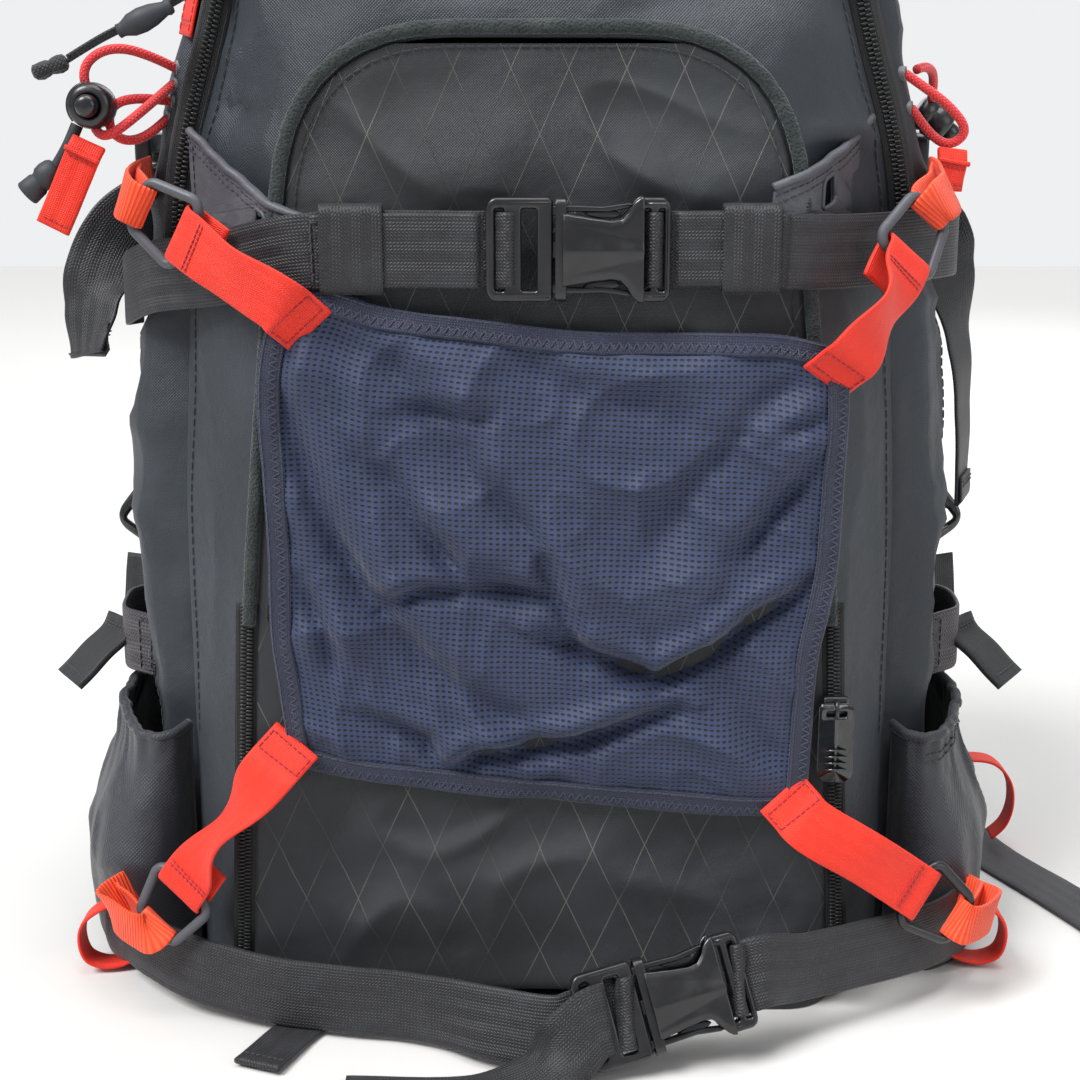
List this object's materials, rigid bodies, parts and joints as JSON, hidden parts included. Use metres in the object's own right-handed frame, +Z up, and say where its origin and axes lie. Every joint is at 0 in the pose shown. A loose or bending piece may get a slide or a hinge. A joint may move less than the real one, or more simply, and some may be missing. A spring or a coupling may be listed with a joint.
{
  "type": "ski backpack",
  "caption": "Ski touring backpack with helmet mesh, side-release compression straps, tool and ski loops, elastic tool keepers, side pockets and harness.",
  "frame": {"origin": "middle of the base's underside, on the surface the pack stands on", "axes": "+Z up along the pack's height, +Y towards the wearer's back, -Y the outer face, +X to the right as seen from the outer face"},
  "size_m": [0.4559, 0.3992, 0.5003],
  "materials": {
    "body_cordura": "matte",
    "base_fabric": "matte",
    "grid_fabric": "matte",
    "pocket_fabric": "satin",
    "piping": "matte",
    "zip_tape": "satin",
    "coated_patch": "matte",
    "black_webbing": "satin",
    "black_plastic": "glossy",
    "grey_plastic": "satin",
    "navy_mesh": "matte",
    "red_webbing": "satin",
    "orange_webbing": "satin",
    "red_cord": "matte",
    "rubber_grey": "matte",
    "pull_rubber": "glossy",
    "hdpe_sheet": "matte",
    "aluminium_stay": "brushed",
    "foam_pad": "matte",
    "lining": "matte",
    "grommet": "satin"
  },
  "bodies": {
    "pack": {"main_shell": "body_cordura", "base_panel": "base_fabric", "front_panel": "body_cordura", "pocket_cover": "grid_fabric", "pocket_piping": "piping", "zip_chains": "zip_tape", "frame_sheet": "hdpe_sheet", "frame_stay": "aluminium_stay", "tool_divider": "lining", "back_panel": "foam_pad", "side_pocket_right": "pocket_fabric", "side_pocket_left": "pocket_fabric", "side_wings": "coated_patch", "upper_strap_left": "black_webbing", "upper_strap_right": "black_webbing", "strap_keepers": "black_webbing", "upper_buckle_socket": "black_plastic", "lower_strap_left": "black_webbing", "lower_strap_right": "black_webbing", "lower_buckle_socket": "black_plastic", "helmet_mesh": "navy_mesh", "mesh_tabs": "red_webbing", "anchor_loops": "orange_webbing", "side_buckles": "black_plastic", "strap_tails": "black_webbing", "ski_loops": "black_webbing", "tool_loops": "orange_webbing", "zip_strip": "red_webbing", "cord_eyelets": "grommet", "shock_cord_left": "red_cord", "shock_cord_right": "red_cord", "cord_locks": "black_plastic", "cord_tabs": "red_webbing", "cord_bell": "rubber_grey", "shoulder_straps": "foam_pad", "shoulder_webbing": "black_webbing", "sternum_webbing_right": "black_webbing", "sternum_webbing_left": "black_webbing", "sternum_socket": "black_plastic", "hip_wings": "foam_pad", "hip_webbing": "black_webbing", "hip_buckle_halves": "black_plastic"},
    "upper_plug": {"upper_buckle_plug": "black_plastic"},
    "lower_plug": {"lower_buckle_plug": "black_plastic", "lower_strap_tail": "black_webbing"},
    "sternum_plug": {"sternum_plug": "black_plastic"},
    "ring_upper_left": {"ring_upper_left": "grey_plastic"},
    "ring_upper_right": {"ring_upper_right": "grey_plastic"},
    "ring_lower_left": {"ring_lower_left": "grey_plastic"},
    "ring_lower_right": {"ring_lower_right": "black_plastic"},
    "cord_button_left": {"cord_button_left": "black_plastic"},
    "cord_button_right": {"cord_button_right": "black_plastic"},
    "main_zip_slider": {"main_zip_slider": "black_plastic", "zip_cord": "black_webbing", "zip_grip": "rubber_grey"},
    "pocket_zip_slider": {"pocket_zip_slider": "black_plastic"},
    "pocket_zip_pull": {"pocket_zip_pull": "pull_rubber"},
    "ladder_lock_left": {"ladder_lock_left": "black_plastic"},
    "ladder_lock_right": {"ladder_lock_right": "black_plastic"},
    "haul_loop": {"haul_loop": "black_webbing"}
  },
  "joints": [
    {"name": "upper_buckle_release", "type": "slide", "parent": "pack", "child": "upper_plug", "axis": [-1, 0, 0], "range_m": [0, 0.032], "deforming": ["upper_strap_left"]},
    {"name": "lower_buckle_release", "type": "slide", "parent": "pack", "child": "lower_plug", "axis": [-0.9584, -0.2018, -0.2018], "range_m": [0, 0.032], "deforming": ["lower_strap_left"]},
    {"name": "sternum_buckle_release", "type": "slide", "parent": "pack", "child": "sternum_plug", "axis": [-1, 0, 0], "range_m": [0, 0.026], "deforming": ["sternum_webbing_left"]},
    {"name": "ring_upper_left_swing", "type": "hinge", "parent": "pack", "child": "ring_upper_left", "pos_m": [-0.119, -0.0865, 0.285], "axis": [0.4635, -0.2317, 0.8553], "range_deg": [-7, 7]},
    {"name": "ring_upper_right_swing", "type": "hinge", "parent": "pack", "child": "ring_upper_right", "pos_m": [0.123, -0.0845, 0.277], "axis": [0.7197, 0.3598, -0.5938], "range_deg": [-7, 7]},
    {"name": "ring_lower_left_swing", "type": "hinge", "parent": "pack", "child": "ring_lower_left", "pos_m": [-0.129, -0.094, 0.052], "axis": [-0.7475, 0.3737, 0.5492], "range_deg": [-7, 7]},
    {"name": "ring_lower_right_swing", "type": "hinge", "parent": "pack", "child": "ring_lower_right", "pos_m": [0.137, -0.094, 0.05], "axis": [-0.5535, -0.2767, -0.7856], "range_deg": [-7, 7]},
    {"name": "cord_button_left_press", "type": "slide", "parent": "pack", "child": "cord_button_left", "axis": [0, 1, 0], "range_m": [0, 0.0032], "stiffness_N_per_m": 400, "springref_m": -0.001},
    {"name": "cord_button_right_press", "type": "slide", "parent": "pack", "child": "cord_button_right", "axis": [-0.8, 0, 0.6], "range_m": [0, 0.0032], "stiffness_N_per_m": 400, "springref_m": -0.001},
    {"name": "main_zip_run", "type": "slide", "parent": "pack", "child": "main_zip_slider", "axis": [0.1851, 0, 0.9827], "range_m": [0, 0.03]},
    {"name": "pocket_zip_run", "type": "slide", "parent": "pack", "child": "pocket_zip_slider", "axis": [-0.046, 0, 0.9989], "range_m": [0, 0.014]},
    {"name": "pocket_pull_lift", "type": "hinge", "parent": "pocket_zip_slider", "child": "pocket_zip_pull", "pos_m": [0.1046, -0.0982, 0.1215], "axis": [-1, 0, 0], "range_deg": [0, 80]},
    {"name": "ladder_lock_right_tilt", "type": "hinge", "parent": "pack", "child": "ladder_lock_right", "pos_m": [0.16955, 0.11405, 0.15093], "axis": [0.7709, -0.1014, 0.6289], "range_deg": [-8, 12]},
    {"name": "ladder_lock_left_tilt", "type": "hinge", "parent": "pack", "child": "ladder_lock_left", "pos_m": [-0.16955, 0.11405, 0.15093], "axis": [0.7709, 0.1014, -0.6289], "range_deg": [-8, 12]},
    {"name": "haul_loop_fold", "type": "hinge", "parent": "pack", "child": "haul_loop", "pos_m": [0, 0.0865, 0.4326], "axis": [-1, 0, 0], "range_deg": [-6, 60]}
  ]
}
